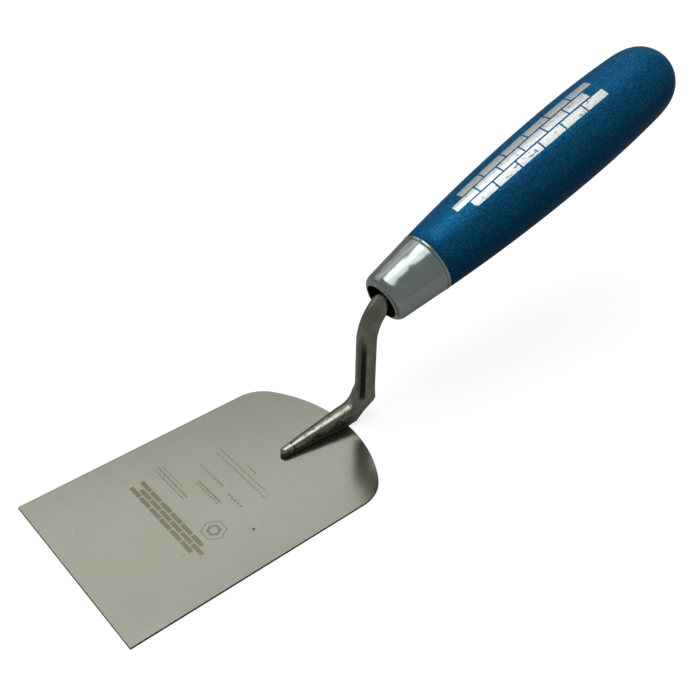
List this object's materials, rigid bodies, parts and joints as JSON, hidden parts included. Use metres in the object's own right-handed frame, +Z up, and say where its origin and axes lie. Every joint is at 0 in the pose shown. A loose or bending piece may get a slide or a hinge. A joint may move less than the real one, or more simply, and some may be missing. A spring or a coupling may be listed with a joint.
{
  "type": "plasterer's square-front trowel",
  "caption": "Small flat trowel with a straight working edge, a cranked steel neck welded to the blade, a plated ferrule and a turned, painted wooden handle.",
  "frame": {"origin": "middle of the blade's flat underside, halfway between the working edge and the top of the rear arch", "axes": "+X from the working edge towards the handle, +Z up from the blade's underside, +Y to the left when looking along +X"},
  "size_m": [0.2276, 0.06, 0.0892],
  "materials": {
    "blade_steel": "satin-ground stainless sheet",
    "forged_steel": "forged and tumbled, dark with burnished ridges",
    "weld_metal": "spot-weld nugget",
    "zinc_plate": "bright zinc plate over drawn steel",
    "painted_wood": "satin petrol-blue paint over turned wood"
  },
  "bodies": {
    "root": {"blade": "blade_steel", "neck": "forged_steel", "foot_welds": "weld_metal", "ferrule": "zinc_plate", "handle": "painted_wood"}
  },
  "joints": []
}
